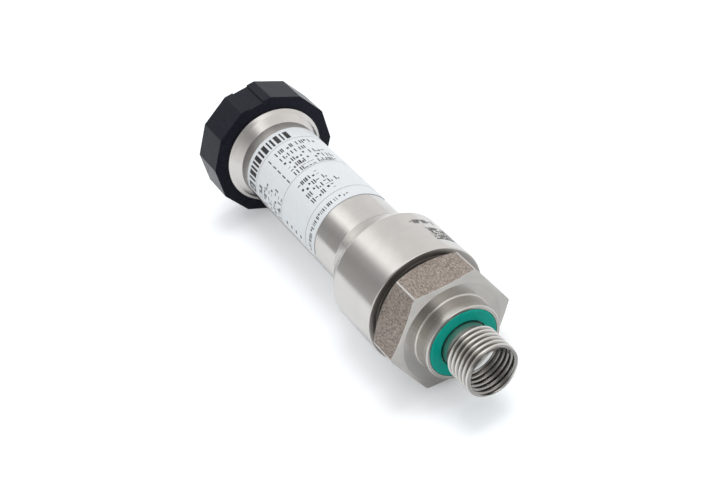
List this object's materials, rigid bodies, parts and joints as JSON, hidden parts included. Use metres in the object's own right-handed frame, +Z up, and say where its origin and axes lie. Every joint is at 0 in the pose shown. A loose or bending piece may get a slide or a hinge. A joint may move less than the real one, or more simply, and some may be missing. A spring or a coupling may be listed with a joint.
{
  "type": "pressure transmitter",
  "caption": "Slim turned steel pressure transmitter with a threaded port, sealing collar, hexagon, wide housing, printed tube, black union nut and round electrical plug.",
  "frame": {"origin": "middle of the part's bounding box, on the surface that it lies on", "axes": "+X towards the pressure port's tip, +Z up; the transmitter lies on the front edge of its housing and the front edge of its nut, so its axis drops 1.14 degrees towards the port"},
  "size_m": [0.1236, 0.033, 0.0332],
  "materials": {
    "stainless_steel": "turned and milled, fine tool marks",
    "housing_steel": "turned, satin",
    "green_seal": "smooth",
    "diaphragm_foil": "pressed foil",
    "header_steel": "plain",
    "black_rubber": "smooth",
    "pedestal_glass": "polished",
    "silicon": "polished",
    "label_foil": "printed foil, satin",
    "black_nut": "black anodised, satin",
    "black_moulding": "moulded",
    "pin_insulator": "moulded",
    "nickel_plating": "nickel plated",
    "circuit_board": "solder mask",
    "grey_moulding": "moulded",
    "chip_moulding": "moulded",
    "crystal_can": "pressed can",
    "capacitor_moulding": "moulded",
    "amber_film": "film",
    "header_pin_plating": "gold plated",
    "bead_glass": "fused",
    "gold_plating": "gold plated",
    "wire_brown": "insulation",
    "wire_white": "insulation",
    "wire_blue": "insulation",
    "wire_black": "insulation",
    "wire_grey": "insulation"
  },
  "bodies": {
    "root": {"capsule_body": "stainless_steel", "capsule_o_ring": "black_rubber", "carrier_o_ring": "black_rubber", "chip_pedestal": "pedestal_glass", "clamp_ring": "stainless_steel", "clock_crystal": "crystal_can", "connector_carrier": "black_moulding", "contact_pin_1": "gold_plating", "contact_pin_2": "gold_plating", "contact_pin_3": "gold_plating", "contact_pin_4": "gold_plating", "contact_pin_5": "gold_plating", "converter_chip": "chip_moulding", "diaphragm": "diaphragm_foil", "fill_plug": "header_steel", "flat_strip": "amber_film", "front_board_guide": "grey_moulding", "glass_bead_1": "bead_glass", "glass_bead_2": "bead_glass", "glass_bead_3": "bead_glass", "glass_bead_4": "bead_glass", "glass_bead_5": "bead_glass", "header": "header_steel", "header_pin_1": "header_pin_plating", "header_pin_2": "header_pin_plating", "header_pin_3": "header_pin_plating", "header_pin_4": "header_pin_plating", "header_pin_5": "header_pin_plating", "housing": "housing_steel", "label": "label_foil", "lead_wire_1": "wire_brown", "lead_wire_2": "wire_white", "lead_wire_3": "wire_blue", "lead_wire_4": "wire_black", "lead_wire_5": "wire_grey", "line_driver": "chip_moulding", "main_board": "circuit_board", "pin_holder": "pin_insulator", "plug_sleeve": "nickel_plating", "port_fitting": "stainless_steel", "pressure_chip": "silicon", "processor_chip": "chip_moulding", "rear_board_guide": "grey_moulding", "seal_ring": "green_seal", "sensor_board": "circuit_board", "surge_diode": "chip_moulding", "tank_capacitor": "capacitor_moulding", "union_nut": "black_nut", "voltage_regulator": "chip_moulding", "weld_ring": "stainless_steel"}
  },
  "joints": []
}
